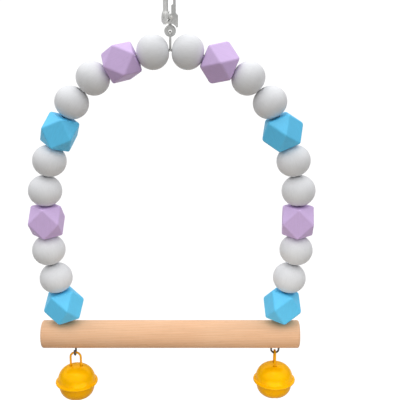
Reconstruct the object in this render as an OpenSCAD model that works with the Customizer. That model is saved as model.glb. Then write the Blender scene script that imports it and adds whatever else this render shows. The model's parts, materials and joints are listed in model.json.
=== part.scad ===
// Bird swing: a wire arch strung with wooden beads, a dowel perch with two
// jingle bells below it, and a swivel snap clip to hang it by.
// The origin is the centre of the clip's hook, where the cage bar lies.

/* [Beads] */
// Diameter of a round bead
round_bead_d = 20; // [17:0.5:21]
// Length of a round bead along the wire
round_bead_t = 18.1; // [15:0.1:19]
// Width of a faceted bead across its square faces
facet_bead_w = 18.4; // [16:0.1:20]
// Chamfer on the edges of a faceted bead
facet_ease = 0.4; // [0.1:0.1:1]
// Bore of every bead
bead_bore_d = 3.6; // [3.2:0.1:4.4]
// Least gap between two beads
bead_gap = 0.15; // [0.05:0.05:0.5]

/* [Arch wire] */
// Diameter of the wire
wire_d = 1.2; // [0.8:0.1:1.4]
// Radius of the upper part of each half of the arch
arch_r = 67; // [62:1:80]
// Turn of the upper part, in degrees
arch_turn = 64; // [58:1:70]
// Radius of the side below it
side_r = 140; // [120:5:180]
// Inward lean of the legs, in degrees
leg_lean = 12; // [8:1:14]
// Radius of the bend where the strands part
fork_r = 1.6; // [1.3:0.1:1.7]
// Height of the swing pivot above the fork
stem_h = 8.8; // [8:0.2:12]
// Radius of the eye at the top of the wire
top_eye_r = 1.9; // [1.8:0.05:2.2]
// Distance of the first bead's centre from the middle
first_bead_x = 9.9; // [9.8:0.1:12]
// Radius of the hooks below the perch
hook_r = 2.35; // [2.1:0.05:3]
// Depth of the hooks' centres below the perch
hook_drop = 1.85; // [1.4:0.05:3]

/* [Perch] */
// Diameter of the perch
perch_d = 17.2; // [14:0.2:20]
// Length of the perch
perch_len = 160; // [150:1:180]
// Rounding of the perch's ends
perch_ease = 1.2; // [0.5:0.1:3]
// Sideways place of the perch's middle
perch_shift = -1.65; // [-3:0.05:3]

/* [Bells] */
// Outer radius of the bell's shells
bell_r = 11.2; // [10.4:0.1:12]
// Thickness of the shells
bell_wall = 0.6; // [0.4:0.05:0.8]
// Outer radius of the rolled rim
rim_r = 13.2; // [12.8:0.1:14.5]
// Radius of the rim's roll
rim_roll_r = 0.8; // [0.7:0.05:0.9]
// Depth of the bell's middle below its pivot
bell_drop = 18.5; // [17:0.1:21]
// Diameter of the bail's wire
bail_d = 1.3; // [1:0.05:1.5]
// Distance between the bail's legs
bail_w = 6.4; // [5.6:0.1:7.4]
// Diameter of the jinglet ball
ball_d = 6; // [4:0.1:7]
// Width of the slots in the bowl
slot_w = 1.6; // [1:0.1:2.2]
// Diameter of the holes at the slots' ends
slot_end_d = 3; // [2.4:0.1:3.6]
// Reach of the slots, in degrees from the bottom
slot_reach = 38; // [30:1:42]

/* [Clip] */
// Diameter of the clip's round bar
bar_d = 2.8; // [2.6:0.1:3]
// Radius of the hook's centreline
crown_r = 4.4; // [4.2:0.1:5]
// Radius of the flat land inside the hook
land_r = 3.2; // [3.15:0.05:3.4]
// Height of the hook's centre above the fork of the wire
clip_h = 40; // [39.5:0.5:46]
// Sideways place of the hook's centre
crown_x = 0.35; // [0.2:0.05:0.6]
// Length of the hook's nose below that centre
nose_len = 4.2; // [3.5:0.1:5]
// Sideways place of the spine's foot
spine_x = -2.4; // [-2.6:0.05:-2.35]
// Radius of the spine's two bends
spine_bend_r = 6; // [5:0.5:8]
// Diameter of the base's barrel
barrel_d = 4.8; // [4.4:0.1:4.8]
// Height of the base above its bottom
base_h = 7; // [6.8:0.1:8]
// Thickness of the base's core
core_t = 3; // [2.8:0.1:3.2]
// Sideways place of the rivet
rivet_x = 0.8; // [0.7:0.05:0.9]
// Diameter of the rivet
rivet_d = 1.2; // [1:0.1:1.3]
// Outer radius of the swivel eye
ring_r = 3.25; // [3.1:0.05:3.4]
// Radius of the swivel eye's hole
ring_hole_r = 1.75; // [1.7:0.05:1.85]
// Rise of that hole above the eye's centre
ring_hole_rise = 0.45; // [0.3:0.05:0.5]
// Thickness of the swivel eye
ring_t = 1.8; // [1.6:0.1:1.9]
// Chamfer on the edges of its hole
ring_ease = 0.4; // [0.35:0.05:0.5]
// Diameter of the swivel's neck
neck_d = 1.8; // [1.4:0.1:1.9]
// Diameter of the swivel's head
neck_head_d = 2.7; // [2.4:0.1:2.8]
// Thickness of the gate's cheeks
cheek_t = 0.7; // [0.5:0.05:0.9]
// Outer face of the gate's thumb tab
tab_x = 4.4; // [4.2:0.1:5]

/* [Hidden] */
$fn = 96;
overrun = 1;
running_gap = 0.05;
seat_gap = 0.1;
gate_gap = 0.12;
// The segments of a bent bar meet in balls this much thicker than the bar.
joint_swell = 1.01;

beads_per_side = 11;
sides = ["left", "right"];
bell_parts = ["dome", "bowl", "bail", "ball"];
function bead_name(side, i) = str(side, "_bead_", i + 1);
function bell_name(side, part) = str(side, "_bell_", part);

// Every third bead, from the second on, is faceted, and lilac and blue take turns.
function is_facet(i) = i % 3 == 1;
function bead_colour(i) = !is_facet(i) ? "whitesmoke" : i % 2 == 1 ? "plum" : "skyblue";
function bead_len(i) = is_facet(i) ? facet_bead_w : round_bead_t;
// How far each faceted bead has turned round the wire, in degrees, top to bottom
left_rolls = [15, 3, 3, 27];
right_rolls = [40, 42, 5, 72];
function roll(side, i) = is_facet(i) ? (side == "left" ? left_rolls : right_rolls)[(i - 1) / 3] : 0;
// How far each of them hangs off the wire in its loose bore, towards the inside of the arch
sags = [1, 1, 1, 0];
function sag(i) = is_facet(i) ? sags[(i - 1) / 3] : 0;

// The wire's route on the right half, by its length from the fork's bend:
// the upper arc, the side arc and the straight leg. Places are [x, z] from the fork.
degree = PI / 180;
upper_len = arch_r * arch_turn * degree;
side_turn = 90 + leg_lean - arch_turn;
side_len = side_r * side_turn * degree;
upper_centre = [fork_r, -arch_r];
upper_end = upper_centre + arch_r * [sin(arch_turn), cos(arch_turn)];
side_centre = upper_end - side_r * [sin(arch_turn), cos(arch_turn)];
side_end = side_centre + side_r * [cos(leg_lean), -sin(leg_lean)];
leg_dir = [-sin(leg_lean), -cos(leg_lean)];
function route_angle(s) = s < upper_len ? s / arch_r / degree
    : s < upper_len + side_len ? arch_turn + (s - upper_len) / side_r / degree
    : 90 + leg_lean;
function across(s) = [sin(route_angle(s)), cos(route_angle(s))];
function route_point(s) = s < upper_len ? upper_centre + arch_r * across(s)
    : s < upper_len + side_len ? side_centre + side_r * across(s)
    : side_end + (s - upper_len - side_len) * leg_dir;

// Beads stand a gap apart, with room for the turn of the wire between them.
bead_bulge = (round_bead_d - round_bead_t) / 2;
function bead_pitch(i, s) =
    let (near = (bead_len(i) + bead_len(i + 1)) / 2,
         turn = near / (s < upper_len ? arch_r : side_r) / degree)
    (near + bead_bulge * sin(turn) + bead_gap) / cos(turn / 2);
function bead_place(i) = i == 0 ? first_bead_x - fork_r
    : bead_place(i - 1) + bead_pitch(i - 1, bead_place(i - 1));
function bead_middle(i) = let (s = bead_place(i)) route_point(s) - sag(i) * across(s);
last_bead = bead_middle(beads_per_side - 1);

// The perch lies just below the corners of the last faceted beads.
perch_top = last_bead[1] - facet_bead_w / 2 * (cos(leg_lean) + sin(leg_lean)) - seat_gap;
perch_z = perch_top - perch_d / 2;
perch_bottom = perch_z - perch_d / 2;
perch_hole_d = wire_d + 2 * seat_gap;

// Each leg runs straight on through the perch, in a hole drilled in line with it,
// and turns upright where it comes out.
leg_len = (side_end[1] - perch_bottom) / cos(leg_lean);
hook_x = side_end[0] - leg_len * sin(leg_lean);
hole_x = hook_x + perch_d / 2 * tan(leg_lean);
foot_r = 3 * wire_d;
foot_tangent = foot_r * tan(leg_lean / 2);
leg_end = side_end + (leg_len - foot_tangent) * leg_dir;
foot_end = [hook_x, perch_bottom - foot_tangent];

// The hooks below the perch: the right one faces front, the left one faces the side.
hook_z = perch_bottom - hook_drop;
hook_end_gap = 3 * seat_gap;
pivot_z = hook_z - hook_r;
function bell_pivot(side) = side == "left" ? [-hook_x, -hook_r, pivot_z] : [hook_x + hook_r, 0, pivot_z];
function bell_spin(side) = side == "left" ? 0 : 90;

// The wire's upper eye closes round the swivel eye's lower limb.
stem_lean = asin(top_eye_r / stem_h);
strand_len = sqrt(pow(stem_h, 2) - pow(top_eye_r, 2));
ring_limb = ring_r - ring_hole_r + ring_hole_rise;
ring_z = stem_h + ring_r - ring_limb / 2;

// Bell sizes, from its middle
bell_inner_r = bell_r - bell_wall;
rim_circle_r = rim_r - rim_roll_r;
lip_t = bell_wall * 2 / 3;
lip_r = rim_circle_r - rim_roll_r / 8;
bail_top = bell_drop + wire_d / 2 + seat_gap + bail_d / 2;
bail_r = bail_w / 2;
bail_foot_z = sqrt(pow(bell_inner_r, 2) - pow(bail_r + bail_d, 2)) - bail_d / 2 - 2 * seat_gap;
ball_path_r = bell_inner_r - ball_d / 2 - seat_gap;
slot_angles = [0, 90];

// Clip: heights above the fork
base_arc_r = ring_r + neck_d / 2;
base_bottom = ring_z + base_arc_r;
base_top = base_bottom + base_h;
barrel_foot = base_bottom - neck_d / 3;
window_z = base_bottom + neck_d * 2 / 3;
window_h = neck_d * 5 / 9;
window_w = neck_head_d + 4 * seat_gap;
rivet_z = window_z + window_h + rivet_d * 4 / 5;
lug_r = rivet_d * 5 / 3;
cheek_r = rivet_d * 19 / 20;
gate_inner_r = lug_r + 2 * seat_gap;
web_x = rivet_x + gate_inner_r;
gate_t = core_t + 2 * (gate_gap + cheek_t);
arm_t = bar_d * 5 / 6;
arm_right = crown_x + crown_r - bar_d / 2 - seat_gap;
arm_left = rivet_x;
arm_narrow = arm_right - bar_d / 2;
arm_step_z = base_top + bar_d;
arm_top = clip_h - land_r;
tab_ease = tab_x - arm_right;
tab_top = rivet_z + rivet_d;
tab_foot = ring_z + ring_hole_r;
spine_top_x = crown_x - crown_r;
spine_bend = acos(1 - (spine_x - spine_top_x) / (2 * spine_bend_r));
spine_bend_z = base_top + 2 * bar_d;
spine_bend_top = spine_bend_z + 2 * spine_bend_r * sin(spine_bend);
spine_bend_mid = [(spine_x + spine_top_x) / 2, (spine_bend_z + spine_bend_top) / 2];
barrel_groove_d = bar_d / 5;
barrel_grooves = [-1, 1] * (bar_d / 2 - barrel_groove_d);

// Gate spring: a close row of curls in a pocket of the base
spring_wire_d = rivet_d / 5;
spring_r = rivet_d / 2;
spring_z = rivet_z + lug_r + spring_r + seat_gap;
spring_from = spine_x - bar_d / 4;
spring_to = arm_left - seat_gap;
spring_curls = 4;
rings_per_curl = 8;
spring_sides = 6;
pocket_d = 2 * spring_r + spring_wire_d + 2 * seat_gap;

// Everything is worked out from the fork of the wire and drawn from the hook's centre.
module from_fork() {
    translate([-crown_x, 0, -clip_h]) children();
}

// A round bar bent to a radius in the XZ plane. It starts to the right of its
// centre and turns anticlockwise as seen from the front.
module bent_bar(r, d, turn) {
    rotate([90, 0, 0]) rotate_extrude(angle = turn) translate([r, 0]) circle(d = d);
}

// Balls where the segments of a bar meet, at [x, z]
module joint_balls(d, places) {
    for (place = places) translate([place[0], 0, place[1]]) sphere(d = d * joint_swell);
}

// A cylinder along Y, through a middle on the XZ plane
module cross_pin(d, len) {
    rotate([90, 0, 0]) cylinder(d = d, h = len, center = true);
}

// An outline drawn in X and Z, made into a plate of a thickness in Y
module plate(t) {
    rotate([90, 0, 0]) linear_extrude(t, center = true) children();
}

module round_bead() {
    rotate_extrude() difference() {
        union() {
            translate([bead_bulge, 0]) circle(d = round_bead_t);
            translate([0, -round_bead_t / 2]) square([bead_bulge, round_bead_t]);
        }
        translate([-round_bead_d, -round_bead_d]) square([round_bead_d + bead_bore_d / 2, 2 * round_bead_d]);
    }
}

// All that lies beyond a plane at a distance from the bead's middle
module beyond(dir, distance) {
    rotate([0, acos(dir[2] / norm(dir)), atan2(dir[1], dir[0])])
        translate([-facet_bead_w, -facet_bead_w, distance]) cube(2 * facet_bead_w);
}

// A cube whose corners are cut to the middle of each edge, with eased edges.
// An edge lies between a square face and a corner face, so its chamfer faces halfway.
module facet_bead() {
    half = facet_bead_w / 2;
    tilt = 1 / (1 + sqrt(3));
    edge_distance = half * (1 + tilt) / norm([1, tilt, tilt]) - facet_ease;
    difference() {
        cube(facet_bead_w, center = true);
        for (a = [-1, 1], b = [-1, 1], c = [-1, 1]) beyond([a, b, c], half * 2 / sqrt(3));
        for (a = [-1, 1], b = [-tilt, tilt], c = [-tilt, tilt], dir = [[a, b, c], [b, a, c], [b, c, a]])
            beyond(dir, edge_distance);
        cylinder(d = bead_bore_d, h = facet_bead_w + 2 * overrun, center = true);
    }
}

module bead(side, i) {
    middle = bead_middle(i);
    turned = side == "left" ? 180 : 0;
    color(bead_colour(i)) from_fork()
        rotate([0, 0, turned]) translate([middle[0], 0, middle[1]])
        rotate([0, 90 + route_angle(bead_place(i)), 0]) rotate([0, 0, roll(side, i)])
        if (is_facet(i)) facet_bead(); else round_bead();
}

// One half of the wire, drawn on the right: eye strand, fork, arch, leg and hook.
// Without a spin the hook turns inwards.
module half_wire(hook_spin) {
    rotate([stem_lean, 0, 0]) {
        translate([fork_r, 0, fork_r]) rotate([0, 180, 0]) bent_bar(fork_r, wire_d, 90);
        translate([0, 0, fork_r]) cylinder(d = wire_d, h = strand_len - fork_r);
        joint_balls(wire_d, [[0, fork_r], [0, strand_len]]);
    }
    translate([upper_centre[0], 0, upper_centre[1]])
        rotate([0, arch_turn - 90, 0]) bent_bar(arch_r, wire_d, arch_turn);
    translate([side_centre[0], 0, side_centre[1]])
        rotate([0, leg_lean, 0]) bent_bar(side_r, wire_d, side_turn);
    translate([side_end[0], 0, side_end[1]])
        rotate([0, 180 + leg_lean, 0]) cylinder(d = wire_d, h = leg_len - foot_tangent);
    translate([foot_end[0] + foot_r, 0, foot_end[1]])
        rotate([0, leg_lean - 180, 0]) bent_bar(foot_r, wire_d, leg_lean);
    joint_balls(wire_d, [[fork_r, 0], upper_end, side_end, leg_end, foot_end]);
    translate([hook_x, 0, hook_z]) {
        cylinder(d = wire_d, h = foot_end[1] - hook_z);
        rotate([0, 0, hook_spin]) translate([-hook_r, 0, 0]) {
            rotate([0, 180, 0]) bent_bar(hook_r, wire_d, 180);
            translate([-hook_r, 0, 0]) cylinder(d = wire_d, h = hook_drop - hook_end_gap);
            joint_balls(wire_d, [[-hook_r, 0], [hook_r, 0]]);
        }
    }
}

module arch_wire() {
    color("dimgray") from_fork() {
        half_wire(180);
        rotate([0, 0, 180]) half_wire(-90);
        translate([0, 0, stem_h]) rotate([0, 0, 90]) rotate([0, stem_lean, 0])
            bent_bar(top_eye_r, wire_d, 180 + 2 * stem_lean);
    }
}

module perch() {
    half_len = perch_len / 2;
    color("burlywood") from_fork() difference() {
        translate([perch_shift, 0, perch_z]) rotate([0, 90, 0]) rotate_extrude() {
            translate([0, -half_len]) square([perch_d / 2 - perch_ease, perch_len]);
            translate([0, perch_ease - half_len]) square([perch_d / 2, perch_len - 2 * perch_ease]);
            for (end = [-1, 1]) translate([perch_d / 2 - perch_ease, end * (half_len - perch_ease)])
                circle(r = perch_ease);
        }
        for (way = [-1, 1]) translate([way * hole_x, 0, perch_z]) rotate([0, way * leg_lean, 0])
            cylinder(d = perch_hole_d, h = perch_d + 4 * overrun, center = true);
    }
}

// The bell's parts are drawn about the bell's middle, with the bail in the XZ plane.
module in_bell(side) {
    pivot = bell_pivot(side);
    from_fork() translate([pivot[0], pivot[1], pivot[2] - bell_drop])
        rotate([0, 0, bell_spin(side)]) children();
}

module lip_outline(ease) {
    translate([bell_inner_r - ease, -lip_t - running_gap - ease])
        square([lip_r - bell_inner_r + 2 * ease, lip_t + 2 * ease]);
}

module bell_dome(side) {
    color("gold") in_bell(side) difference() {
        rotate_extrude() difference() {
            union() {
                intersection() {
                    circle(r = bell_r);
                    square(bell_r);
                }
                square([rim_circle_r, bell_wall]);
                translate([rim_circle_r, 0]) circle(r = rim_roll_r);
            }
            circle(r = bell_inner_r);
            translate([0, -bell_r]) square([bell_r + 2 * seat_gap, bell_r]);
            lip_outline(running_gap);
            translate([-bell_r, -bell_r]) square([bell_r, 2 * bell_r]);
        }
        for (x = [-bail_r, bail_r]) translate([x, 0, 0])
            cylinder(d = bail_d + 2 * seat_gap, h = bell_r);
    }
}

module bell_bowl(side) {
    color("gold") in_bell(side) difference() {
        rotate_extrude() difference() {
            union() {
                intersection() {
                    circle(r = bell_r);
                    translate([0, -bell_r - running_gap]) square([bell_r, bell_r]);
                }
                lip_outline(0);
            }
            circle(r = bell_inner_r);
        }
        for (spin = slot_angles) rotate([0, 0, spin]) {
            intersection() {
                translate([-bell_r, -slot_w / 2, -bell_r - overrun]) cube([2 * bell_r, slot_w, bell_r]);
                slot_wedge();
            }
            for (way = [-1, 1]) rotate([0, 180 + way * slot_reach, 0])
                cylinder(d = slot_end_d, h = bell_r + overrun);
        }
    }
}

// The space within a slot's reach of the bottom
module slot_wedge() {
    reach = 2 * bell_r;
    plate(slot_w + overrun) polygon([[0, 0],
        [-reach * sin(slot_reach), -reach * cos(slot_reach)],
        [0, -2 * reach],
        [reach * sin(slot_reach), -reach * cos(slot_reach)]]);
}

module bell_bail(side) {
    color("orange") in_bell(side) {
        translate([0, 0, bail_top - bail_r]) bent_bar(bail_r, bail_d, 180);
        for (way = [-1, 1]) translate([way * bail_r, 0, bail_foot_z]) {
            cylinder(d = bail_d, h = bail_top - bail_r - bail_foot_z);
            sphere(d = bail_d);
            rotate([0, way * 90, 0]) cylinder(d = bail_d, h = bail_d);
        }
    }
}

module bell_ball(side) {
    color("silver") in_bell(side) translate([0, 0, -ball_path_r]) sphere(d = ball_d);
}

module swivel_eye() {
    neck_foot = ring_z + ring_hole_rise + ring_hole_r + ring_ease;
    head_z = window_z + running_gap;
    color("darkgray") from_fork() {
        difference() {
            translate([0, 0, ring_z]) rotate([90, 0, 0]) rotate_extrude() {
                translate([ring_r - ring_t / 2, 0]) circle(d = ring_t);
                translate([0, -ring_t / 2]) square([ring_r - ring_t / 2, ring_t]);
            }
            translate([0, 0, ring_z + ring_hole_rise]) {
                cross_pin(2 * ring_hole_r, ring_t + 2 * overrun);
                for (way = [-90, 90]) rotate([way, 0, 0]) translate([0, 0, ring_t / 2 - ring_ease])
                    cylinder(r1 = ring_hole_r, r2 = ring_hole_r + 2 * ring_ease, h = 2 * ring_ease);
            }
        }
        translate([0, 0, neck_foot]) cylinder(d = neck_d, h = head_z - neck_foot);
        translate([0, 0, head_z]) cylinder(d1 = neck_head_d, d2 = neck_d, h = window_h - 3 * running_gap);
    }
}

// The hook: spine, its two bends, crown and nose, with a flat land for the bar
module clip_hook() {
    difference() {
        union() {
            translate([spine_x, 0, base_top - base_h / 2])
                cylinder(d = bar_d, h = spine_bend_z - base_top + base_h / 2);
            translate([spine_x - spine_bend_r, 0, spine_bend_z]) bent_bar(spine_bend_r, bar_d, spine_bend);
            translate([spine_top_x + spine_bend_r, 0, spine_bend_top])
                rotate([0, 180, 0]) bent_bar(spine_bend_r, bar_d, spine_bend);
            translate([spine_top_x, 0, spine_bend_top]) cylinder(d = bar_d, h = clip_h - spine_bend_top);
            translate([crown_x, 0, clip_h]) bent_bar(crown_r, bar_d, 180);
            joint_balls(bar_d, [[spine_x, spine_bend_z], spine_bend_mid, [spine_top_x, spine_bend_top],
                [spine_top_x, clip_h], [crown_x + crown_r, clip_h]]);
            translate([crown_x + crown_r, 0, clip_h - nose_len]) {
                cylinder(d = bar_d, h = nose_len);
                sphere(d = bar_d);
            }
        }
        translate([crown_x, 0, clip_h]) cross_pin(2 * land_r, bar_d + 2 * overrun);
    }
}

// The barrel that the spine grows from: half widths and heights of its outline
module clip_barrel() {
    half = barrel_d / 2;
    height = base_top - barrel_foot;
    translate([spine_x, 0, barrel_foot]) difference() {
        rotate_extrude() polygon([
            [0, 0],
            [half / 2, 0],
            [half, height / 5],
            [half, height / 2],
            [half * 7 / 8, height * 4 / 5],
            [bar_d / 2, height],
            [0, height]]);
        for (x = barrel_grooves, way = [-1, 1])
            translate([x, way * half * 7 / 8, -overrun]) cylinder(d = barrel_groove_d, h = height);
    }
}

// The core that carries the swivel's neck and the rivet, between the gate's cheeks
module clip_core() {
    plate(core_t) {
        translate([rivet_x, rivet_z]) circle(r = lug_r);
        translate([spine_x, barrel_foot]) square([rivet_x + rivet_d - spine_x, rivet_z - barrel_foot]);
        translate([spine_x, rivet_z]) square([rivet_x - spine_x, lug_r]);
    }
}

module clip_body() {
    color("silver") from_fork() difference() {
        union() {
            clip_barrel();
            clip_core();
            clip_hook();
        }
        translate([0, 0, ring_z]) cross_pin(2 * base_arc_r, barrel_d + 2 * overrun);
        translate([0, 0, ring_z]) cylinder(d = neck_d + 2 * running_gap, h = window_z + window_h / 2 - ring_z);
        translate([-window_w / 2, -barrel_d, window_z]) cube([window_w, 2 * barrel_d, window_h]);
        translate([rivet_x, 0, rivet_z]) cross_pin(rivet_d + 2 * running_gap, core_t + 2 * overrun);
        translate([spring_from - seat_gap, 0, spring_z]) rotate([0, 90, 0])
            cylinder(d = pocket_d, h = barrel_d);
    }
}

// The gate's outline from the front: arm, thumb tab, tail and cheeks
module gate_outline() {
    polygon([
        [arm_narrow, arm_top],
        [arm_right, arm_top],
        [arm_right, tab_top + tab_ease],
        [tab_x, tab_top],
        [tab_x, tab_foot + tab_ease / 2],
        [tab_x - tab_ease / 2, tab_foot],
        [arm_right - tab_ease, tab_foot + tab_ease / 4],
        [rivet_x - rivet_d * 3 / 4, base_bottom + neck_d / 3],
        [rivet_x - rivet_d / 2, rivet_z],
        [arm_left, rivet_z + lug_r + seat_gap],
        [arm_left, arm_step_z],
        [arm_narrow, arm_step_z + tab_ease / 2]]);
}

// The room between the cheeks, which clears the core at every turn of the gate
module gate_room() {
    plate(core_t + 2 * gate_gap) {
        translate([rivet_x, rivet_z]) circle(r = gate_inner_r);
        translate([rivet_x - lug_r - tab_x, 0]) square([web_x - rivet_x + lug_r + tab_x, rivet_z]);
        translate([arm_left - tab_x, 0]) square([tab_x, arm_step_z]);
    }
}

module clip_gate() {
    color("darkgray") from_fork() difference() {
        union() {
            intersection() {
                plate(gate_t) gate_outline();
                union() {
                    translate([-tab_x, -gate_t / 2, 0]) cube([3 * tab_x, gate_t, base_top - bar_d / 2]);
                    translate([-tab_x, -arm_t / 2, 0]) cube([3 * tab_x, arm_t, clip_h]);
                }
            }
            translate([rivet_x, 0, rivet_z]) cross_pin(2 * cheek_r, gate_t);
        }
        gate_room();
        translate([0, 0, ring_z]) cross_pin(2 * base_arc_r, gate_t + 2 * overrun);
        translate([rivet_x, 0, rivet_z]) cross_pin(rivet_d + 2 * running_gap, gate_t + 2 * overrun);
    }
}

module gate_rivet() {
    head_d = rivet_d * 7 / 4;
    head_t = rivet_d / 4;
    color("gainsboro") from_fork() translate([rivet_x, 0, rivet_z]) {
        cross_pin(rivet_d, gate_t + 2 * (running_gap + head_t));
        for (way = [-90, 90]) rotate([way, 0, 0]) translate([0, 0, gate_t / 2 + running_gap])
            cylinder(d1 = head_d, d2 = rivet_d, h = head_t);
    }
}

// The spring's centreline: straight ends along X and curls between them
spring_len = spring_to - spring_from;
spring_pitch = (spring_len - 2 * spring_wire_d) / spring_curls;
curl_steps = spring_curls * rings_per_curl;
function curl_point(k) = let (curls = k / rings_per_curl, turn = 360 * curls)
    [spring_from + spring_wire_d + spring_pitch * curls, spring_r * sin(turn), spring_r * cos(turn)];
spring_path = concat(
    [[spring_from, 0, spring_r]],
    [for (k = [0 : curl_steps]) curl_point(k)],
    [[spring_to, 0, spring_r]]);
// Least distance between points a curl apart or more, less the wire
spring_gap = min([for (a = [0 : curl_steps - rings_per_curl + 2], b = [a + rings_per_curl - 2 : curl_steps])
    norm(curl_point(a) - curl_point(b))]) - spring_wire_d;
echo(spring_gap = spring_gap);

function unit(v) = v / norm(v);
function path_tangent(path, k) = let (last = len(path) - 1)
    k == 0 || k == last ? [1, 0, 0] : unit(path[k + 1] - path[k - 1]);
// The rings turn with the curls: one side of each looks away from the axis.
function ring_points(path, k, d, n) =
    let (t = path_tangent(path, k),
         out = [0, path[k][1], path[k][2]],
         side = unit(cross(t, out)),
         up = cross(side, t))
    [for (j = [0 : n - 1]) path[k] + d / 2 * (cos(360 * j / n) * up + sin(360 * j / n) * side)];

module swept_wire(path, d, n) {
    rings = len(path);
    points = [for (k = [0 : rings - 1]) each ring_points(path, k, d, n)];
    walls = [for (k = [0 : rings - 2], j = [0 : n - 1])
        let (a = k * n + j, b = k * n + (j + 1) % n) each [[a, b, b + n], [a, b + n, a + n]]];
    end = (rings - 1) * n;
    caps = [for (j = [1 : n - 2]) each [[0, j + 1, j], [end, end + j, end + j + 1]]];
    polyhedron(points, concat(walls, caps));
}

module gate_spring() {
    color("lightgray") from_fork() translate([0, 0, spring_z])
        swept_wire(spring_path, spring_wire_d, spring_sides);
}

clip_body();
clip_gate();
gate_rivet();
gate_spring();
swivel_eye();
arch_wire();
perch();
for (side = sides) {
    for (i = [0 : beads_per_side - 1]) bead(side, i);
    bell_dome(side);
    bell_bowl(side);
    bell_bail(side);
    bell_ball(side);
}
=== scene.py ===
# Bird swing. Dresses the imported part: models the beads, perch, bells and swivel eye anew, and
# adds a finish for every piece, a pale floor, soft light and the camera.
import json
import math

import bpy
from mathutils import Matrix, Vector


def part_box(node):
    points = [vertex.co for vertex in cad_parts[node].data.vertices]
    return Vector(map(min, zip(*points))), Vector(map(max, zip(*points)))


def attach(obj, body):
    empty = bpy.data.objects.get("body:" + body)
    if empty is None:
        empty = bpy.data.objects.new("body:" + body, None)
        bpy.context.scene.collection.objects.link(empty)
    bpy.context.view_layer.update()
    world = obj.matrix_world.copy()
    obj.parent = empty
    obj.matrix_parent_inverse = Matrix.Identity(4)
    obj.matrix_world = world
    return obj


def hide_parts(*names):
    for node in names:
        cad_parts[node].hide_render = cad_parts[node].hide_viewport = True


mm = 0.001  # the dictionaries below give lengths in millimetres, and angles in degrees
near = 0.01 * mm  # places closer than this count as the same
weld = 0.002 * mm  # points closer than this are merged when a piece is done
fineWeld = 0.001 * mm  # the same for a copy of one of the part's own meshes
flat = math.radians(1)  # neighbours on a copy that differ by less are made one face
overrun = 2 * mm  # how far a drill reaches past what it cuts
plain = (1, 1, 1)  # a tone that changes nothing

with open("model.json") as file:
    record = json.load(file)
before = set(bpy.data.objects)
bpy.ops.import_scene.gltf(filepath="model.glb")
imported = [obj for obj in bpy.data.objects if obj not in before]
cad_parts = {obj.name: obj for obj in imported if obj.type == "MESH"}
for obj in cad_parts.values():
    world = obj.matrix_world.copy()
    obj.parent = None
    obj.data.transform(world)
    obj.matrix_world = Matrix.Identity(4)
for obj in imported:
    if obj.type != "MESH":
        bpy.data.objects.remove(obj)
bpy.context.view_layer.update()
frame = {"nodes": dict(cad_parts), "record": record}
hinges = {joint["name"]: joint for joint in frame["record"]["behaviour"]["joints"]}
print("frame loaded:", len(frame["nodes"]), "nodes")


# Camera: the swing is seen from a little right of its middle and from above.
camera = {
    "lens": 67.5,
    "sensor": 36,
    "place": (16.3, -427.5, -4.3),
    "lookDown": 16.0,
    "nearest": 10,
}


def placeCamera():
    place = Vector(camera["place"]) * mm
    turn = (math.radians(90 - camera["lookDown"]), 0, 0)
    bpy.ops.object.camera_add(location=place, rotation=turn)
    shot = bpy.context.object
    shot.name = "camera"
    shot.data.lens = camera["lens"]
    shot.data.sensor_width = camera["sensor"]
    shot.data.clip_start = camera["nearest"] * mm
    bpy.context.scene.camera = shot


placeCamera()
print("camera placed")


# Small helpers for modelling
def toObjectMode():
    if bpy.context.object and bpy.context.object.mode != "OBJECT":
        bpy.ops.object.mode_set(mode="OBJECT")


def deselectAll():
    toObjectMode()
    bpy.ops.object.select_all(action="DESELECT")


def pick(piece):
    deselectAll()
    bpy.context.view_layer.objects.active = piece
    piece.select_set(True)


def newPiece(name):
    piece = bpy.context.object
    piece.name = name
    piece.data.name = name
    return piece


def editAll(piece):
    pick(piece)
    bpy.ops.object.mode_set(mode="EDIT")
    bpy.ops.mesh.select_mode(type="VERT")
    bpy.ops.mesh.select_all(action="SELECT")


# Selects only the edges whose two ends both pass a test on their place.
def pickEdges(piece, test):
    editAll(piece)
    bpy.ops.mesh.select_mode(type="EDGE")
    bpy.ops.mesh.select_all(action="DESELECT")
    bpy.ops.object.mode_set(mode="OBJECT")
    points = piece.data.vertices
    for edge in piece.data.edges:
        edge.select = all(test(points[k].co) for k in edge.vertices)
    bpy.ops.object.mode_set(mode="EDIT")


# Rounds the edges that are picked.
def easeEdges(width, steps):
    bpy.ops.mesh.bevel(offset=width * mm, segments=steps, affect="EDGES")


def cleanUp(piece, smoothAngle=35):
    editAll(piece)
    bpy.ops.mesh.remove_doubles(threshold=weld)
    bpy.ops.mesh.select_all(action="SELECT")
    bpy.ops.mesh.normals_make_consistent(inside=False)
    toObjectMode()
    bpy.ops.object.shade_smooth_by_angle(angle=math.radians(smoothAngle))


# Joins a tool to a piece, or cuts the piece with it; the tool is used up.
def combine(piece, tool, how):
    pick(piece)
    change = piece.modifiers.new("change", "BOOLEAN")
    change.operation = how
    change.solver = "EXACT"
    change.object = tool
    bpy.ops.object.modifier_apply(modifier=change.name)
    bpy.data.objects.remove(tool, do_unlink=True)


def cutWith(piece, cutter):
    combine(piece, cutter, "DIFFERENCE")


def addRod(radius, length, place=(0, 0, 0), turn=(0, 0, 0), sides=48):
    deselectAll()
    bpy.ops.mesh.primitive_cylinder_add(
        vertices=sides, radius=radius, depth=length, location=place, rotation=turn)
    return bpy.context.object


def settleRod():
    bpy.ops.object.transform_apply(location=True, rotation=True, scale=True)


# Evens the shading of flat faces beside rounded edges.
def evenShading(piece):
    pick(piece)
    even = piece.modifiers.new("even", "WEIGHTED_NORMAL")
    even.keep_sharp = True
    bpy.ops.object.modifier_apply(modifier=even.name)


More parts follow.
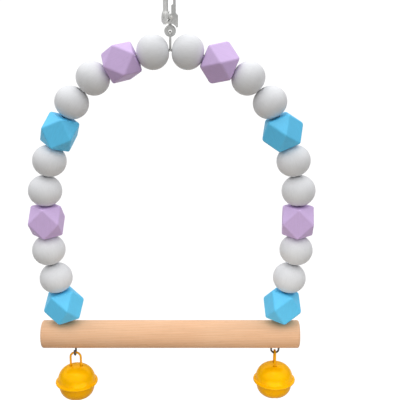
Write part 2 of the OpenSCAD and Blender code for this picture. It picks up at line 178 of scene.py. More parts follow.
# Draws a chain of edges through points, as a profile to spin.
def drawProfile(name, points):
    deselectAll()
    bpy.ops.mesh.primitive_plane_add(size=mm, location=(0, 0, 0))
    piece = newPiece(name)
    editAll(piece)
    bpy.ops.mesh.merge(type="CENTER")
    bpy.ops.transform.translate(value=points[0])
    for start, end in zip(points, points[1:]):
        bpy.ops.mesh.extrude_vertices_move(TRANSFORM_OT_translate={"value": end - start})
    toObjectMode()
    return piece


def spinProfile(piece, steps):
    editAll(piece)
    bpy.ops.mesh.spin(steps=steps, angle=math.tau, center=(0, 0, 0), axis=(0, 0, 1))
    cleanUp(piece)


# Profile points are given in millimetres, out from the axis and up.
def profilePoint(reach, height):
    return Vector((reach, 0, height)) * mm


def arc(centre, radius, start, end, count):
    points = []
    for k in range(count + 1):
        turn = math.radians(start + (end - start) * k / count)
        reach = centre[0] + radius * math.cos(turn)
        points.append(profilePoint(reach, centre[1] + radius * math.sin(turn)))
    return points


# A stretch of an oval; a fullness below 1 makes it squarer than a true oval.
def oval(reach, height, fullness, start, end, count):
    points = []
    for k in range(count + 1):
        turn = math.radians(start + (end - start) * k / count)
        out = abs(math.cos(turn)) ** fullness
        up = math.copysign(abs(math.sin(turn)) ** fullness, turn)
        points.append(profilePoint(reach * out, height * up))
    return points


# A bend from start to end, pulled towards a corner; the start itself is left out.
def bend(start, corner, end, count):
    shares = [k / count for k in range(1, count + 1)]
    return [(1 - t) ** 2 * start + 2 * t * (1 - t) * corner + t * t * end for t in shares]


# Moves a piece's mesh to its place; the object itself stays at the origin.
def settle(piece, matrix):
    piece.data.transform(matrix)
    piece.matrix_world = Matrix.Identity(4)


def copyPiece(pattern, name):
    piece = pattern.copy()
    piece.data = pattern.data.copy()
    piece.name = name
    piece.data.name = name
    bpy.context.scene.collection.objects.link(piece)
    return piece


# A merged copy of one of the part's own meshes, to be worked on
def mergedCopy(nodeName, name):
    node = frame["nodes"][nodeName]
    piece = bpy.data.objects.new(name, node.data.copy())
    bpy.context.scene.collection.objects.link(piece)
    settle(piece, node.matrix_world)
    editAll(piece)
    bpy.ops.mesh.remove_doubles(threshold=fineWeld)
    bpy.ops.mesh.select_all(action="SELECT")
    bpy.ops.mesh.dissolve_limited(angle_limit=flat)
    toObjectMode()
    return piece


# Keeps the piece's own coordinates, so that its grain turns and travels with it.
def keepGrain(piece, shift):
    grain = piece.data.attributes.new("grain", "FLOAT_VECTOR", "POINT")
    for point, place in zip(piece.data.vertices, grain.data):
        place.vector = point.co + shift


# Gives a piece its finish, hides the node it stands in for, and hangs it on the body it rides on.
def standIn(piece, finish, node, body):
    piece.data.materials.clear()
    piece.data.materials.append(finish)
    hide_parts(node)
    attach(piece, body)


def dress(nodeName, finish):
    node = frame["nodes"][nodeName]
    node.data.materials.clear()
    node.data.materials.append(finish)


# Node helpers for the finishes
def newFinish(name):
    finish = bpy.data.materials.new(name)
    finish.use_nodes = True
    nodes = finish.node_tree.nodes
    return finish, nodes, finish.node_tree.links, nodes["Principled BSDF"]


def addNode(nodes, kind, **values):
    node = nodes.new(kind)
    for key, value in values.items():
        setattr(node, key, value)
    return node


# A cloudy pattern; its scale, or its stretch, is about how many of its patches fill a metre.
def addNoise(nodes, links, source, scale=1, detail=2, stretch=(1, 1, 1), shift=(0, 0, 0)):
    mapping = addNode(nodes, "ShaderNodeMapping")
    mapping.inputs["Scale"].default_value = stretch
    mapping.inputs["Location"].default_value = shift
    noise = addNode(nodes, "ShaderNodeTexNoise")
    noise.inputs["Scale"].default_value = scale
    noise.inputs["Detail"].default_value = detail
    links.new(source, mapping.inputs["Vector"])
    links.new(mapping.outputs["Vector"], noise.inputs["Vector"])
    return noise.outputs["Fac"]


# A ramp from one colour to another over a span of a pattern's values
def addRamp(nodes, links, source, span, dark, light):
    ramp = addNode(nodes, "ShaderNodeValToRGB")
    for end, place, colour in zip(ramp.color_ramp.elements, span, (dark, light)):
        end.position = place
        end.color = (*colour, 1)
    links.new(source, ramp.inputs["Fac"])
    return ramp.outputs["Color"]


def multiply(nodes, links, amount, first, second):
    mix = addNode(nodes, "ShaderNodeMix", data_type="RGBA", blend_type="MULTIPLY")
    mix.inputs["Factor"].default_value = amount
    links.new(first, mix.inputs["A"])
    links.new(second, mix.inputs["B"])
    return mix.outputs["Result"]


# Maps a value from one range to another; the ranges' ends are named as on the node.
def addRange(nodes, links, source, ends):
    spread = addNode(nodes, "ShaderNodeMapRange")
    for end, value in ends.items():
        spread.inputs[end].default_value = value
    links.new(source, spread.inputs["Value"])
    return spread.outputs["Result"]


def addRoughness(nodes, links, source, shader, low, high):
    rough = addRange(nodes, links, source, {"To Min": low, "To Max": high})
    links.new(rough, shader.inputs["Roughness"])


# Each layer is a pattern with the strength and the depth of its bump.
def addBump(nodes, links, shader, layers):
    last = None
    for source, (strength, depth) in layers:
        bump = addNode(nodes, "ShaderNodeBump")
        bump.inputs["Strength"].default_value = strength
        bump.inputs["Distance"].default_value = depth * mm
        links.new(source, bump.inputs["Height"])
        if last:
            links.new(last, bump.inputs["Normal"])
        last = bump.outputs["Normal"]
    links.new(last, shader.inputs["Normal"])


# A colour made darker or lighter
def scaled(colour, amount):
    return tuple(min(1, part * amount) for part in colour)


# Beads: 14 round and 8 faceted, all on the wire
beads = {
    "count": 11,  # on each side
    "roundWidth": 20.0,
    "roundLength": 18.1,
    "roundSteps": 40,
    "spinSteps": 64,
    "facetWidth": 18.4,
    "facetEdge": 0.8,
    "bore": 3.6,
    "rimEase": 0.35,
    "facetRimFrom": 0.45,  # as a share of the width
    "easeSteps": 5,
    "facetRimSteps": 3,
    "roundRoll": 37,  # from one bead to the next
    "leftRolls": [15, 3, 3, 27],
    "rightRolls": [40, 42, 5, 72],
    "grainStep": (17, 11, 5),
    "grainSide": (0, 0, 40),
    "white": (0.765, 0.775, 0.80),
    "lilac": (0.66, 0.48, 0.81),
    "blue": (0.12, 0.62, 0.99),
}

beadPaint = {
    "fibres": {"stretch": (1500, 1500, 160), "detail": 5},
    "cloud": {"scale": 140, "detail": 3},
    "pores": {"stretch": (3200, 3200, 420), "detail": 2, "shift": (3, 1, 2)},
    "fibreSpan": (0.3, 0.7),
    "fibreTones": (0.965, 1.02),
    "cloudSpan": (0.3, 0.75),
    "cloudTone": (0.95, 0.95, 0.95),
    "poreSpan": (0.28, 0.36),
    "poreTone": (0.9, 0.89, 0.88),
    "poreShare": 0.7,
    "roughness": (0.42, 0.56),
    "fibreBump": (0.25, 0.05),
    "poreBump": (0.12, 0.05),
    "gloss": 0.4,
}


def modelRoundBead():
    half = beads["roundLength"] / 2
    bulge = beads["roundWidth"] / 2 - half
    ease, steps = beads["rimEase"], beads["easeSteps"]
    rim = beads["bore"] / 2 + ease
    # the outside runs from rim to rim, and the bore closes it
    end = math.degrees(math.acos((rim - bulge) / half))
    outside = arc((bulge, 0), half, end, -end, beads["roundSteps"])
    top = outside[0].z / mm
    rimTop = arc((rim, top - ease), ease, 90, 180, steps)[1:]
    rimFoot = arc((rim, ease - top), ease, 180, 270, steps)[:-1]
    piece = drawProfile("roundBead", outside + rimFoot[::-1] + rimTop[::-1] + [outside[0]])
    spinProfile(piece, beads["spinSteps"])
    return piece


def modelFacetBead():
    width = beads["facetWidth"] * mm
    bore = beads["bore"] / 2 * mm
    deselectAll()
    bpy.ops.mesh.primitive_cube_add(size=width)
    piece = newPiece("facetBead")
    editAll(piece)
    # corners cut to the middle of each edge leave six squares and eight triangles
    bpy.ops.mesh.bevel(offset_type="PERCENT", offset_pct=50, affect="VERTICES")
    bpy.ops.mesh.select_all(action="SELECT")
    bpy.ops.mesh.remove_doubles(threshold=near)
    bpy.ops.mesh.select_all(action="SELECT")
    easeEdges(beads["facetEdge"], beads["easeSteps"])
    toObjectMode()
    cutWith(piece, addRod(bore, width + 2 * overrun))
    rimFrom = beads["facetRimFrom"] * width
    pickEdges(piece, lambda p: abs(p.xy.length - bore) < 2 * near and abs(p.z) > rimFrom)
    easeEdges(beads["rimEase"], beads["facetRimSteps"])
    cleanUp(piece)
    evenShading(piece)
    return piece


# Paint over turned wood, with the grain faintly felt through it
def beadFinish(name, colour):
    finish, nodes, links, shader = newFinish(name)
    grain = addNode(nodes, "ShaderNodeAttribute", attribute_name="grain").outputs["Vector"]
    fibres = addNoise(nodes, links, grain, **beadPaint["fibres"])
    cloud = addNoise(nodes, links, grain, **beadPaint["cloud"])
    pores = addNoise(nodes, links, grain, **beadPaint["pores"])
    thin, thick = [scaled(colour, tone) for tone in beadPaint["fibreTones"]]
    tint = addRamp(nodes, links, fibres, beadPaint["fibreSpan"], thin, thick)
    patch = addRamp(nodes, links, cloud, beadPaint["cloudSpan"], beadPaint["cloudTone"], plain)
    dots = addRamp(nodes, links, pores, beadPaint["poreSpan"], beadPaint["poreTone"], plain)
    tint = multiply(nodes, links, 1, tint, patch)
    tint = multiply(nodes, links, beadPaint["poreShare"], tint, dots)
    links.new(tint, shader.inputs["Base Color"])
    addRoughness(nodes, links, cloud, shader, *beadPaint["roughness"])
    layers = [(fibres, beadPaint["fibreBump"]), (pores, beadPaint["poreBump"])]
    addBump(nodes, links, shader, layers)
    shader.inputs["Specular IOR Level"].default_value = beadPaint["gloss"]
    return finish


# Every third bead is faceted, lilac and blue in turn, and the others are round and white.
def beadColour(i):
    if i % 3 != 1:
        return "white"
    return "lilac" if i % 2 else "blue"


# Turns a bead to the wire: its bore along the joint's axis, then rolled about it
def beadTurn(side, hinge, roll):
    way = -1 if side == "left" else 1
    lean = math.atan2(-hinge["axis"][2], way * hinge["axis"][0])
    outward = Matrix.Rotation(math.pi if side == "left" else 0, 4, "Z")
    along = Matrix.Rotation(math.pi / 2 + lean, 4, "Y")
    return outward @ along @ Matrix.Rotation(math.radians(roll), 4, "Z")


def threadBeads():
    facetPattern = modelFacetBead()
    roundPattern = modelRoundBead()
    colours = ("white", "lilac", "blue")
    finishes = {colour: beadFinish(f"{colour}BeadPaint", beads[colour]) for colour in colours}
    for side in ("left", "right"):
        for i in range(beads["count"]):
            node = f"{side}_bead_{i + 1}"
            hinge = hinges[f"{node}_spin"]
            colour = beadColour(i)
            faceted = colour != "white"
            roll = beads[f"{side}Rolls"][i // 3] if faceted else beads["roundRoll"] * i
            piece = copyPiece(facetPattern if faceted else roundPattern, f"{node}_wood")
            shift = Vector(beads["grainStep"]) * i
            if side == "right":
                shift += Vector(beads["grainSide"])
            keepGrain(piece, shift * mm)
            settle(piece, Matrix.Translation(hinge["pos_m"]) @ beadTurn(side, hinge, roll))
            standIn(piece, finishes[colour], node, node)
    for pattern in (facetPattern, roundPattern):
        bpy.data.objects.remove(pattern, do_unlink=True)


threadBeads()
print("beads threaded")


# Perch: a dowel with eased ends, drilled for the two legs of the wire
perch = {
    "sides": 128,
    "endEase": 1.2,
    "endSteps": 6,
    "legReach": 63.18,
    "legLean": 12,
    "holeWidth": 1.4,
    "holeSides": 32,
}

bareWood = {
    "wood": (0.83, 0.53, 0.335),
    "lateWood": (0.74, 0.45, 0.265),
    "lateLift": 1.1,
    "heart": (0, 31, 260),
    "heartTurn": (0, 1.2, -1.6),
    "ringGap": 1.5,
    "ringWander": 1.6,
    "ringDetail": 3,
    "ringDetailScale": 0.35,
    "ringSpan": (0.15, 0.95),
    "streaks": {"stretch": (45, 1300, 1300), "detail": 6},
    "streakSpan": (0.3, 0.7),
    "streakTone": (0.9, 0.88, 0.86),
    "pores": {"stretch": (260, 5200, 5200), "detail": 3},
    "poreSpan": (0.3, 0.38),
    "poreTone": (0.72, 0.66, 0.6),
    "poreShare": 0.5,
    "blush": {"scale": 55, "detail": 2, "stretch": (0.6, 1, 1)},
    "blushSpan": (0.35, 0.7),
    "blushTone": (0.97, 0.93, 0.9),
    "roughness": (0.55, 0.72),
    "streakBump": (0.35, 0.08),
    "poreBump": (0.3, 0.06),
    "gloss": 0.3,
}


def modelPerch():
    low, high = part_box("perch")
    middle, radius = (low + high) / 2, (high.z - low.z) / 2
    piece = addRod(radius, high.x - low.x, middle, turn=(0, math.pi / 2, 0), sides=perch["sides"])
    newPiece("perchWood")
    settleRod()
    for end in (low.x, high.x):
        pickEdges(piece, lambda p: abs(p.x - end) < near)
        easeEdges(perch["endEase"], perch["endSteps"])
    # the legs stand evenly about the middle of the arch, which isn't the perch's own middle
    archMiddle = hinges["swing_hinge"]["pos_m"][0]
    bore, depth = perch["holeWidth"] / 2 * mm, 2 * (radius + overrun)
    for way in (-1, 1):
        place = (archMiddle + way * perch["legReach"] * mm, 0, middle.z)
        turn = (0, math.radians(way * perch["legLean"]), 0)
        cutWith(piece, addRod(bore, depth, place, turn, perch["holeSides"]))
    cleanUp(piece)
    evenShading(piece)
    return piece


# Growth rings about the tree's heart, which lies outside the dowel
def addRings(nodes, links, place):
    heart = addNode(nodes, "ShaderNodeMapping")
    heart.inputs["Location"].default_value = Vector(bareWood["heart"]) * mm
    heart.inputs["Rotation"].default_value = [math.radians(turn) for turn in bareWood["heartTurn"]]
    links.new(place, heart.inputs["Vector"])
    rings = addNode(nodes, "ShaderNodeTexWave", wave_type="RINGS", rings_direction="X")
    rings.wave_profile = "SAW"
    # at a scale of 1, the rings of this pattern lie a tenth of pi apart
    rings.inputs["Scale"].default_value = math.pi / 10 / (bareWood["ringGap"] * mm)
    rings.inputs["Distortion"].default_value = bareWood["ringWander"]
    rings.inputs["Detail"].default_value = bareWood["ringDetail"]
    rings.inputs["Detail Scale"].default_value = bareWood["ringDetailScale"]
    links.new(heart.outputs["Vector"], rings.inputs["Vector"])
    return rings.outputs["Fac"]


# Bare wood: growth rings, fine streaks along the dowel and pores
def perchFinish():
    finish, nodes, links, shader = newFinish("perchBareWood")
    place = addNode(nodes, "ShaderNodeTexCoord").outputs["Object"]
    rings = addRings(nodes, links, place)
    streaks = addNoise(nodes, links, place, **bareWood["streaks"])
    pores = addNoise(nodes, links, place, **bareWood["pores"])
    blush = addNoise(nodes, links, place, **bareWood["blush"])
    late = scaled(bareWood["lateWood"], bareWood["lateLift"])
    tint = addRamp(nodes, links, rings, bareWood["ringSpan"], bareWood["wood"], late)
    fine = addRamp(nodes, links, streaks, bareWood["streakSpan"], bareWood["streakTone"], plain)
    dots = addRamp(nodes, links, pores, bareWood["poreSpan"], bareWood["poreTone"], plain)
    warm = addRamp(nodes, links, blush, bareWood["blushSpan"], bareWood["blushTone"], plain)
    tint = multiply(nodes, links, 1, tint, fine)
    tint = multiply(nodes, links, bareWood["poreShare"], tint, dots)
    tint = multiply(nodes, links, 1, tint, warm)
    links.new(tint, shader.inputs["Base Color"])
    addRoughness(nodes, links, streaks, shader, *bareWood["roughness"])
    layers = [(streaks, bareWood["streakBump"]), (pores, bareWood["poreBump"])]
    addBump(nodes, links, shader, layers)
    shader.inputs["Specular IOR Level"].default_value = bareWood["gloss"]
    return finish


standIn(modelPerch(), perchFinish(), "perch", "swing")
print("perch made")


# Bells: a pressed dome whose rim is rolled over the lip of the bowl. A reach is measured out
# from the axis of the bell, and a height from its middle.
bells = {
    "spinSteps": 96,
    "wall": 0.6,
    "domeReach": 11.8,
    "domeHeight": 10.9,
    "domeFullness": 0.87,
    "domeSteps": 40,
    "crownEnd": 9,  # above level
    "flare": 0.4,
    "flareSteps": 5,
    "rollReach": 12.4,
    "rollRadius": 0.8,
    "rollEnd": -148,
    "rollSteps": 20,
    "bailGap": 6.4,
    "bailHoleWidth": 2.0,
    "bailHoleDepth": 8,
    "bailHoleHeight": 10,
    "bailHoleSides": 24,
    "bowlReach": 11.2,
    "bowlHeight": 11.0,
    "bowlFullness": 0.7,
    "bowlFloor": 0.38,
    "bowlSteps": 50,
    "bowlTop": (-1, -0.5),  # where its outside and its inside end
    "lipReach": 12.3,
    "lipTop": -0.05,
    "lipFoot": -0.45,
    "lipPlay": 0.05,
    "slotWidth": 1.6,
    "slotAngle": 38,  # from straight down to either end
    "slotDepth": 8,
    "slotMiddle": 0.8,  # as a share of the reach of the bowl
    "slotEndWidth": 3.0,
    "slotEndDepth": 4,
    "slotEndSides": 32,
}

enamel = {
    "dome": (1.0, 0.485, 0.0),
    # The bowl's deeper yellow than the dome is painted shade under the rolled rim.
    "bowl": (0.93, 0.43, 0.0),
    "bail": (0.92, 0.42, 0.0),
    "shellRoughness": (0.2, 0.3),
    "bailRoughness": (0.25, 0.35),
    "ripple": {"scale": 420, "detail": 2},
    "cloud": {"scale": 130, "detail": 3, "shift": (5, 2, 9)},
    "cloudSpan": (0.3, 0.7),
    "cloudTones": (0.93, 1.04),
    "specks": {"scale": 2600, "detail": 2, "shift": (1, 7, 3)},
    "speckSpan": (0.24, 0.3),
    "speckTone": (0.75, 0.68, 0.6),
    "speckShare": 0.3,
    "rippleBump": (0.07, 0.12),
    "speckBump": (0.03, 0.05),
    "metallic": 0.14,
    "gloss": 0.02,
    "coat": 0.07,
    "coatRoughness": 0.08,
}


def modelDome():
    reach, height, wall = bells["domeReach"], bells["domeHeight"], bells["wall"]
    fullness, steps = bells["domeFullness"], bells["domeSteps"]
    crown = oval(reach, height, fullness, 90, bells["crownEnd"], steps)
    # the crown runs out into the flange in a small hollow
    corner = profilePoint(reach, wall)
    foot = profilePoint(reach + bells["flare"], wall)
    flare = bend(crown[-1], corner, foot, bells["flareSteps"])
    rollMiddle, rollRadius = (bells["rollReach"], 0), bells["rollRadius"]
    rollStart = math.degrees(math.asin(wall / rollRadius))
    roll = arc(rollMiddle, rollRadius, rollStart, bells["rollEnd"], bells["rollSteps"])
    # the rolled rim holds the bowl's lip with a little play
    seatReach = bells["lipReach"] + bells["lipPlay"]
    seatFoot = bells["lipFoot"] - 2 * bells["lipPlay"]
    seat = [profilePoint(seatReach, seatFoot), profilePoint(seatReach, 0)]
    inside = oval(reach - wall, height - wall, fullness, 0, 90, steps)
    piece = drawProfile("bellDome", crown + flare + roll + seat + inside)
    spinProfile(piece, bells["spinSteps"])
    for way in (-1, 1):
        place = profilePoint(way * bells["bailGap"] / 2, bells["bailHoleHeight"])
        radius, depth = bells["bailHoleWidth"] / 2 * mm, bells["bailHoleDepth"] * mm
        cutWith(piece, addRod(radius, depth, place, sides=bells["bailHoleSides"]))
    cleanUp(piece)
    return piece


def modelBowl():
    reach, height, fullness = bells["bowlReach"], bells["bowlHeight"], bells["bowlFullness"]
    outsideTop, insideTop = bells["bowlTop"]
    shell = oval(reach, height, fullness, -90, outsideTop, bells["bowlSteps"])
    lipEnds = bells["lipFoot"], bells["lipTop"]
    lip = [profilePoint(bells["lipReach"], end) for end in lipEnds]
    innerReach, innerHeight = reach - bells["wall"], height - bells["bowlFloor"]
    inside = oval(innerReach, innerHeight, fullness, insideTop, -90, bells["bowlSteps"])
    piece = drawProfile("bellBowl", shell + lip + inside)
    spinProfile(piece, bells["spinSteps"])
    cutSlots(piece, reach)
    cleanUp(piece)
    return piece


# Two crossing slots under the bowl, each with a round hole at either end
def cutSlots(piece, reach):
    angle = math.radians(bells["slotAngle"])
    out, down = math.sin(angle), -math.cos(angle)
    for quarter in (0, math.pi / 2):
        deselectAll()
        place = profilePoint(0, -bells["slotMiddle"] * reach)
        bpy.ops.mesh.primitive_cube_add(size=1, location=place, rotation=(0, 0, quarter))
        saw = bpy.context.object
        saw.scale = Vector((2 * reach * out, bells["slotWidth"], bells["slotDepth"])) * mm
        cutWith(piece, saw)
    for k in range(4):
        aim = Matrix.Rotation(k * math.pi / 2, 3, "Z") @ Vector((out, 0, down))
        turn = Vector((0, 0, 1)).rotation_difference(aim).to_euler()
        radius, depth = bells["slotEndWidth"] / 2 * mm, bells["slotEndDepth"] * mm
        drill = addRod(radius, depth, aim * reach * mm, turn, bells["slotEndSides"])
        cutWith(piece, drill)


# Enamel: thick gloss paint with a slight ripple, a little thinner and darker in places
def enamelFinish(name, colour, roughness):
    finish, nodes, links, shader = newFinish(name)
    place = addNode(nodes, "ShaderNodeTexCoord").outputs["Object"]
    ripple = addNoise(nodes, links, place, **enamel["ripple"])
    cloud = addNoise(nodes, links, place, **enamel["cloud"])
    specks = addNoise(nodes, links, place, **enamel["specks"])
    thin, thick = [scaled(colour, tone) for tone in enamel["cloudTones"]]
    tint = addRamp(nodes, links, cloud, enamel["cloudSpan"], thin, thick)
    dust = addRamp(nodes, links, specks, enamel["speckSpan"], enamel["speckTone"], plain)
    tint = multiply(nodes, links, enamel["speckShare"], tint, dust)
    links.new(tint, shader.inputs["Base Color"])
    addRoughness(nodes, links, cloud, shader, *roughness)
    layers = [(ripple, enamel["rippleBump"]), (specks, enamel["speckBump"])]
    addBump(nodes, links, shader, layers)
    shader.inputs["Metallic"].default_value = enamel["metallic"]
    shader.inputs["Specular IOR Level"].default_value = enamel["gloss"]
    shader.inputs["Coat Weight"].default_value = enamel["coat"]
    shader.inputs["Coat Roughness"].default_value = enamel["coatRoughness"]
    return finish


def hangBells():
    patterns = {"dome": modelDome(), "bowl": modelBowl()}
    roughness = enamel["shellRoughness"]
    finishes = {part: enamelFinish(f"{part}Enamel", enamel[part], roughness) for part in patterns}
    bailEnamel = enamelFinish("bailEnamel", enamel["bail"], enamel["bailRoughness"])
    for side, turn in (("left", 0), ("right", math.pi / 2)):
        # the ball rolls about the middle of its bell
        middle = hinges[f"{side}_ball_roll"]["pos_m"]
        place = Matrix.Translation(middle) @ Matrix.Rotation(turn, 4, "Z")
        for part, pattern in patterns.items():
            piece = copyPiece(pattern, f"{side}_bell_{part}_shell")
            settle(piece, place)
            standIn(piece, finishes[part], f"{side}_bell_{part}", f"{side}_bell")
        dress(f"{side}_bell_bail", bailEnamel)
    for pattern in patterns.values():
        bpy.data.objects.remove(pattern, do_unlink=True)


hangBells()
print("bells hung")


# Metal: drawn wire, cast and plated clip, and the small steel parts
metals = {
    "wire": {"colour": (0.50, 0.50, 0.49), "rough": 0.36, "grain": 1800,
             "stain": 0.2, "metallic": 1},
    # The clip body is the same plated casting as the gate, made lighter as a painted highlight on
    # its round bar.
    "body": {"colour": (0.72, 0.725, 0.72), "rough": 0.42, "grain": 1500,
             "stain": 0.14, "metallic": 0.6},
    "gate": {"colour": (0.56, 0.565, 0.56), "rough": 0.42, "grain": 1500,
             "stain": 0.14, "metallic": 0.6},
    "rivet": {"colour": (0.62, 0.62, 0.60), "rough": 0.5, "grain": 2200,
              "stain": 0.1, "metallic": 0.5},
    "spring": {"colour": (0.45, 0.45, 0.44), "rough": 0.32, "grain": 2600,
               "stain": 0.1, "metallic": 1},
    "ball": {"colour": (0.42, 0.42, 0.43), "rough": 0.3, "grain": 1200,
             "stain": 0.2, "metallic": 1},
}

metalWear = {
    "cloud": {"detail": 3},
    "cloudSize": 8,  # times the size of the grain
    "cloudSpan": (0.3, 0.7),
    "grain": {"detail": 4, "shift": (2, 4, 1)},
    "grainSpan": (0.3, 0.65),
    "grainTone": (0.86, 0.85, 0.83),
    "grainShare": 0.8,
    "roughSpread": (-0.06, 0.1),
    "cloudBump": (0.12, 0.08),
    "grainBump": (0.14, 0.04),
}

# Painted shade: the wire's colour darkens from its top down to its hooks, which hang under the
# perch.
paintedShadeDown = {
    "from": -60,
    "to": -195,
    "tone": (0.14, 0.13, 0.1224),
}

clip = {
    "ease": 0.2,
    "easeSteps": 3,
    "easeFrom": 40,
    "smoothAngle": 50,
    "springRoom": 0.8,
    "springSmoothAngle": 65,
}


# Darkens a tint down the wire, by height, as painted shade
def addPaintedShadeDown(nodes, links, place, tint):
    height = addNode(nodes, "ShaderNodeSeparateXYZ")
    links.new(place, height.inputs["Vector"])
    ends = {"From Min": paintedShadeDown["from"] * mm, "From Max": paintedShadeDown["to"] * mm}
    fade = addRange(nodes, links, height.outputs["Z"], ends)
    tone = addRamp(nodes, links, fade, (0, 1), plain, paintedShadeDown["tone"])
    return multiply(nodes, links, 1, tint, tone)


def metalFinish(name, look, paintsShadeDown=False):
    finish, nodes, links, shader = newFinish(name)
    place = addNode(nodes, "ShaderNodeTexCoord").outputs["Object"]
    cloudScale = look["grain"] / metalWear["cloudSize"]
    cloud = addNoise(nodes, links, place, cloudScale, **metalWear["cloud"])
    grain = addNoise(nodes, links, place, look["grain"], **metalWear["grain"])
    stained = scaled(look["colour"], 1 - look["stain"])
    clean = scaled(look["colour"], 1 + look["stain"] / 2)
    tint = addRamp(nodes, links, cloud, metalWear["cloudSpan"], stained, clean)
    fine = addRamp(nodes, links, grain, metalWear["grainSpan"], metalWear["grainTone"], plain)
    tint = multiply(nodes, links, metalWear["grainShare"], tint, fine)
    # painted shade down the wire, darker towards its hooks
    if paintsShadeDown:
        tint = addPaintedShadeDown(nodes, links, place, tint)
    links.new(tint, shader.inputs["Base Color"])
    low, high = [look["rough"] + change for change in metalWear["roughSpread"]]
    addRoughness(nodes, links, grain, shader, low, high)
    layers = [(cloud, metalWear["cloudBump"]), (grain, metalWear["grainBump"])]
    addBump(nodes, links, shader, layers)
    shader.inputs["Metallic"].default_value = look["metallic"]
    return finish


# A casting's edges are a little rounded.
def softenCasting(nodeName, body, finish):
    piece = mergedCopy(nodeName, f"{nodeName}_casting")
    ease = piece.modifiers.new("ease", "BEVEL")
    ease.width = clip["ease"] * mm
    ease.segments = clip["easeSteps"]
    ease.limit_method = "ANGLE"
    ease.angle_limit = math.radians(clip["easeFrom"])
    bpy.ops.object.modifier_apply(modifier=ease.name)
    cleanUp(piece, clip["smoothAngle"])
    standIn(piece, finish, nodeName, body)


# The spring is drawn a little short, so that the opened gate has room beside it.
def shortenSpring(finish):
    low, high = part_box("gate_spring")
    squeeze = 1 - clip["springRoom"] * mm / (high.x - low.x)
    piece = mergedCopy("gate_spring", "gate_spring_coil")
    shift = Matrix.Translation((low.x * (1 - squeeze), 0, 0))
    settle(piece, shift @ Matrix.Diagonal((squeeze, 1, 1, 1)))
    cleanUp(piece, clip["springSmoothAngle"])
    standIn(piece, finish, "gate_spring", "clip")


# Swivel eye: a cast ring whose slot just clears the wire, with a neck that turns in the clip
eye = {
    "width": 6.5,
    "thick": 1.8,
    "sides": 64,
    "rise": 2.275,
    "rimEase": 0.7,
    "rimSteps": 5,
    "slotWidth": 1.9,
    "slotHeight": 2.1,
    "slotFoot": -1.3,
    "slotSides": 32,
    "slotEase": 0.25,
    "slotSteps": 3,
    "neckWidth": 1.8,
    "neckFoot": 2.5,
    "neckTop": 5.4,
    "neckSteps": 32,
    "headWidth": 2.7,
    "headTop": 6.25,
}


def modelEyeNeck():
    half, head = eye["neckWidth"] / 2, eye["headWidth"] / 2
    foot, top, headTop = eye["neckFoot"], eye["neckTop"], eye["headTop"]
    corners = [(0, foot), (half, foot), (half, top), (head, top), (half, headTop), (0, headTop)]
    piece = drawProfile("eyeNeck", [profilePoint(*corner) for corner in corners])
    spinProfile(piece, eye["neckSteps"])
    return piece


# A rod across the eye, stretched upwards into a slot
def modelEyeSlot():
    bore = eye["slotWidth"] / 2 * mm
    middle = eye["slotFoot"] * mm + bore
    length = eye["thick"] * mm + 2 * overrun
    slot = addRod(bore, length, (0, 0, middle), turn=(math.pi / 2, 0, 0), sides=eye["slotSides"])
    settleRod()
    pickEdges(slot, lambda p: p.z > middle + near)
    bpy.ops.transform.translate(value=(0, 0, (eye["slotHeight"] - eye["slotWidth"]) * mm))
    toObjectMode()
    return slot


def modelEye():
    radius, half = eye["width"] / 2 * mm, eye["thick"] / 2 * mm
    piece = addRod(radius, 2 * half, turn=(math.pi / 2, 0, 0), sides=eye["sides"])
    newPiece("swivelEyeCasting")
    settleRod()
    for face in (-half, half):
        pickEdges(piece, lambda p: abs(p.y - face) < near)
        easeEdges(eye["rimEase"], eye["rimSteps"])
    cutWith(piece, modelEyeSlot())
    inner = radius - eye["rimEase"] * mm
    pickEdges(piece, lambda p: abs(abs(p.y) - half) < near and p.length < inner)
    easeEdges(eye["slotEase"], eye["slotSteps"])
    combine(piece, modelEyeNeck(), "UNION")
    cleanUp(piece)
    evenShading(piece)
    place = Vector(hinges["swing_hinge"]["pos_m"]) + profilePoint(0, eye["rise"])
    settle(piece, Matrix.Translation(place))
    return piece


def dressMetal():
    # the wire gets painted shade towards its hooks
    dress("arch_wire", metalFinish("drawnWire", metals["wire"], paintsShadeDown=True))
    gateCasting = metalFinish("gateCasting", metals["gate"])
    softenCasting("clip_body", "clip", metalFinish("bodyCastingPaintedHighlight", metals["body"]))
    softenCasting("clip_gate", "gate", gateCasting)
    standIn(modelEye(), gateCasting, "swivel_eye", "swivel")
    dress("gate_rivet", metalFinish("rivetSteel", metals["rivet"]))
    shortenSpring(metalFinish("springSteel", metals["spring"]))
    ballSteel = metalFinish("ballSteel", metals["ball"])
    for side in ("left", "right"):
        dress(f"{side}_bell_ball", ballSteel)


dressMetal()
print("metal dressed")


# Floor and light
studio = {
    "floorMiddle": (0, 20000, -330),
    "floorSize": 60000,
    "floorSeen": (0.9, 0.9, 0.9),
    "floorUnseen": (0.08, 0.065, 0.045),
    "floorRoughness": 0.8,
    "floorGlow": 1.06,
    "floorGlowShare": 0.88,
    "lampAim": (0, 0, -130),
    "skyTop": 1.5,
    "skyFoot": 0.03,
    "skyTopFrom": 0.62,
}

lamps = {
    "key": {"power": 0.5, "size": (600, 220), "place": (-60, -220, 530),
            "colour": (0.98, 0.99, 1.0)},
    "fill": {"power": 0.13, "size": (240, 90), "place": (30, -140, -262),
             "colour": (1.0, 0.96, 0.89)},
}


# One where either of two kinds of ray meets the surface, and nothing for all others
def addSeen(nodes, links, firstRay, secondRay):
    ray = addNode(nodes, "ShaderNodeLightPath")
    seen = addNode(nodes, "ShaderNodeMath", operation="MAXIMUM")
    links.new(ray.outputs[firstRay], seen.inputs[0])
    links.new(ray.outputs[secondRay], seen.inputs[1])
    return seen.outputs["Value"]


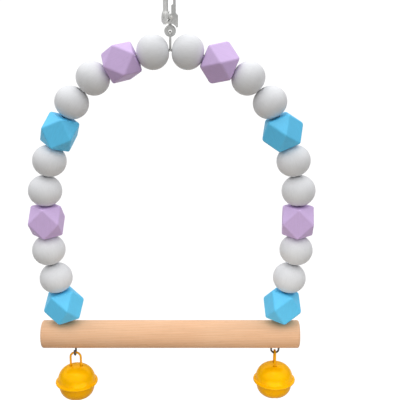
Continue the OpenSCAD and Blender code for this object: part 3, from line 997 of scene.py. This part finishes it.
# The floor glows white to the camera, keeps the shadow, and sends little light back up.
def floorFinish():
    finish, nodes, links, shader = newFinish("paleFloor")
    seen = addSeen(nodes, links, "Is Camera Ray", "Is Glossy Ray")
    tone = addNode(nodes, "ShaderNodeMix", data_type="RGBA")
    tone.inputs["A"].default_value = (*studio["floorUnseen"], 1)
    tone.inputs["B"].default_value = (*studio["floorSeen"], 1)
    links.new(seen, tone.inputs["Factor"])
    links.new(tone.outputs["Result"], shader.inputs["Base Color"])
    shader.inputs["Roughness"].default_value = studio["floorRoughness"]
    glow = addNode(nodes, "ShaderNodeEmission")
    glow.inputs["Strength"].default_value = studio["floorGlow"]
    share = addRange(nodes, links, seen, {"To Max": studio["floorGlowShare"]})
    blend = addNode(nodes, "ShaderNodeMixShader")
    links.new(share, blend.inputs["Fac"])
    links.new(shader.outputs["BSDF"], blend.inputs[1])
    links.new(glow.outputs["Emission"], blend.inputs[2])
    links.new(blend.outputs["Shader"], nodes["Material Output"].inputs["Surface"])
    return finish


def layFloor():
    deselectAll()
    place = Vector(studio["floorMiddle"]) * mm
    bpy.ops.mesh.primitive_plane_add(size=studio["floorSize"] * mm, location=place)
    floor = newPiece("floor")
    floor.data.materials.append(floorFinish())


def addLamp(name, power, size, place, colour):
    place = Vector(place) * mm
    aim = Vector(studio["lampAim"]) * mm - place
    turn = aim.to_track_quat("-Z", "Y").to_euler()
    bpy.ops.object.light_add(type="AREA", location=place, rotation=turn)
    lamp = bpy.context.object
    lamp.name = f"{name}Lamp"
    lamp.data.energy = power
    lamp.data.shape = "RECTANGLE"
    lamp.data.size = size[0] * mm
    lamp.data.size_y = size[1] * mm
    lamp.data.color = colour


# The sky is white to the camera, and lights the swing mostly from above.
def hangSky():
    world = bpy.data.worlds.new("softSky")
    world.use_nodes = True
    bpy.context.scene.world = world
    nodes, links = world.node_tree.nodes, world.node_tree.links
    way = addNode(nodes, "ShaderNodeTexCoord").outputs["Generated"]
    height = addNode(nodes, "ShaderNodeSeparateXYZ")
    links.new(way, height.inputs["Vector"])
    ends = {
        "From Max": studio["skyTopFrom"],
        "To Min": studio["skyFoot"],
        "To Max": studio["skyTop"],
    }
    fade = addRange(nodes, links, height.outputs["Z"], ends)
    strength = addNode(nodes, "ShaderNodeMix")
    strength.inputs["B"].default_value = 1
    seen = addSeen(nodes, links, "Is Camera Ray", "Is Transmission Ray")
    links.new(seen, strength.inputs["Factor"])
    links.new(fade, strength.inputs["A"])
    back = nodes["Background"]
    back.inputs["Color"].default_value = (1, 1, 1, 1)
    links.new(strength.outputs["Result"], back.inputs["Strength"])


layFloor()
for name, lamp in lamps.items():
    addLamp(name, **lamp)
hangSky()
bpy.context.scene.view_settings.view_transform = "Standard"
print("studio lit")

deselectAll()
